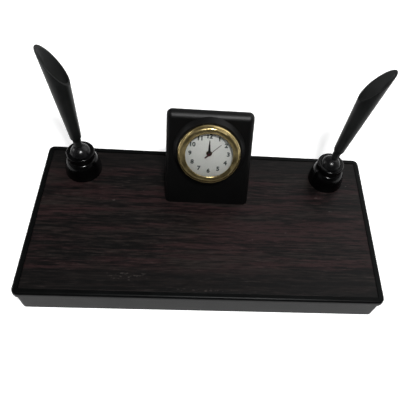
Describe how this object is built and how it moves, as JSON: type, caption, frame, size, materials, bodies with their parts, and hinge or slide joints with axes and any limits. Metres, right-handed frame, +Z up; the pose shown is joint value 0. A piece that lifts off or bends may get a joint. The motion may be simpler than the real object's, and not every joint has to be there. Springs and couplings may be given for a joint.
{
  "type": "desk clock pen holder",
  "caption": "Rectangular desk stand with a wood laminate top, a leaning block with a round clock insert and swivelling conical pen funnels on bell shaped sockets.",
  "frame": {"origin": "middle of the underside, on the desk surface", "axes": "+X along the long side of the stand, +Y to the back, +Z up; the clock faces -Y"},
  "size_m": [0.2045, 0.1077, 0.1029],
  "materials": {
    "base_plastic": "black moulded plastic, satin",
    "rosewood_laminate": "dark rosewood laminate, fine grain along X, low sheen",
    "hardboard": "brown hardboard, matt",
    "felt": "dark green felt",
    "steel": "zinc plated steel",
    "housing_plastic": "black moulded plastic, satin gloss",
    "gold_plate": "polished gold plated brass",
    "lens": "clear acrylic",
    "dial_face": "silvered white dial with printed numerals",
    "case_plastic": "black moulded plastic",
    "grip_rubber": "black rubber, ribbed",
    "movement_brass": "plain brass",
    "nylon": "natural nylon",
    "hand_black": "black lacquer",
    "hand_red": "dark red lacquer",
    "bell_plastic": "black gloss",
    "ball_plastic": "black high gloss",
    "funnel_plastic": "black moulded plastic, satin"
  },
  "bodies": {
    "base": {"base_tray": "base_plastic", "laminate_panel": "rosewood_laminate", "bottom_board": "hardboard", "felt_pad": "felt", "bottom_screw_1": "steel", "bottom_screw_2": "steel", "bottom_screw_3": "steel", "bottom_screw_4": "steel", "bottom_screw_5": "steel", "bottom_screw_6": "steel", "housing_screw_1": "steel", "housing_screw_2": "steel", "housing_screw_3": "steel", "housing_screw_4": "steel", "holder_bolt_left": "steel", "holder_bolt_right": "steel", "holder_washer_left": "steel", "holder_washer_right": "steel", "clock_housing": "housing_plastic", "bell_base_left": "bell_plastic", "bell_base_right": "bell_plastic", "spring_washer_left": "steel", "spring_washer_right": "steel", "retaining_ring_left": "bell_plastic", "retaining_ring_right": "bell_plastic"},
    "left_seat": {"ball_seat_left": "nylon"},
    "left_ball": {"swivel_ball_left": "ball_plastic"},
    "left_funnel": {"pen_funnel_left": "funnel_plastic"},
    "right_seat": {"ball_seat_right": "nylon"},
    "right_ball": {"swivel_ball_right": "ball_plastic"},
    "right_funnel": {"pen_funnel_right": "funnel_plastic"},
    "clock_insert": {"clock_bezel": "gold_plate", "clock_lens": "lens", "clock_dial": "dial_face", "insert_case": "case_plastic", "grip_ring": "grip_rubber", "main_plate": "movement_brass", "drive_module": "nylon", "button_cell": "steel"},
    "minute_arbor": {"cannon_pinion": "movement_brass", "minute_hand": "hand_black"},
    "hour_arbor": {"hour_wheel": "movement_brass", "hour_hand": "hand_black"},
    "second_arbor": {"seconds_arbor": "steel", "second_hand": "hand_red"},
    "motion_wheel": {"minute_wheel": "movement_brass"},
    "knob": {"setting_knob": "case_plastic"},
    "hatch": {"cell_hatch": "case_plastic"}
  },
  "joints": [
    {"name": "left_azimuth", "type": "hinge", "parent": "base", "child": "left_seat", "pos_m": [-0.077, 0.0335, 0.0354], "axis": [0, 0, 1], "continuous": true},
    {"name": "left_tilt", "type": "hinge", "parent": "left_seat", "child": "left_ball", "pos_m": [-0.077, 0.0335, 0.0354], "axis": [-0.8554, -0.518, 0], "range_deg": [-15.4, 24.6]},
    {"name": "left_spin", "type": "hinge", "parent": "left_ball", "child": "left_funnel", "pos_m": [-0.077, 0.0335, 0.0354], "axis": [-0.1376, 0.2271, 0.9641], "continuous": true},
    {"name": "right_azimuth", "type": "hinge", "parent": "base", "child": "right_seat", "pos_m": [0.077, 0.0335, 0.0354], "axis": [0, 0, 1], "continuous": true},
    {"name": "right_tilt", "type": "hinge", "parent": "right_seat", "child": "right_ball", "pos_m": [0.077, 0.0335, 0.0354], "axis": [-0.7145, 0.6997, 0], "range_deg": [-22.2, 17.8]},
    {"name": "right_spin", "type": "hinge", "parent": "right_ball", "child": "right_funnel", "pos_m": [0.077, 0.0335, 0.0354], "axis": [0.2644, 0.27, 0.9259], "continuous": true},
    {"name": "insert_pull", "type": "slide", "parent": "base", "child": "clock_insert", "axis": [0, -0.9078, 0.4195], "range_m": [0, 0.025]},
    {"name": "minute_turn", "type": "hinge", "parent": "clock_insert", "child": "minute_arbor", "pos_m": [0, 0.02616, 0.05299], "axis": [0, 0.9078, -0.4195], "continuous": true},
    {"name": "hour_turn", "type": "hinge", "parent": "clock_insert", "child": "hour_arbor", "pos_m": [0, 0.02616, 0.05299], "axis": [0, 0.9078, -0.4195], "continuous": true},
    {"name": "second_turn", "type": "hinge", "parent": "clock_insert", "child": "second_arbor", "pos_m": [0, 0.02616, 0.05299], "axis": [0, 0.9078, -0.4195], "continuous": true},
    {"name": "motion_wheel_turn", "type": "hinge", "parent": "clock_insert", "child": "motion_wheel", "pos_m": [0, 0.02364, 0.04754], "axis": [0, 0.9078, -0.4195], "continuous": true},
    {"name": "knob_turn", "type": "hinge", "parent": "clock_insert", "child": "knob", "pos_m": [0, 0.02113, 0.0421], "axis": [0, 0.9078, -0.4195], "continuous": true},
    {"name": "hatch_turn", "type": "hinge", "parent": "clock_insert", "child": "hatch", "pos_m": [0, 0.02926, 0.05971], "axis": [0, 0.9078, -0.4195], "range_deg": [0, 60]}
  ],
  "couplings": [
    {"joint": "hour_turn", "follows": "minute_turn", "ratio": 0.083333},
    {"joint": "motion_wheel_turn", "follows": "minute_turn", "ratio": -0.33333},
    {"joint": "knob_turn", "follows": "minute_turn", "ratio": 1}
  ]
}
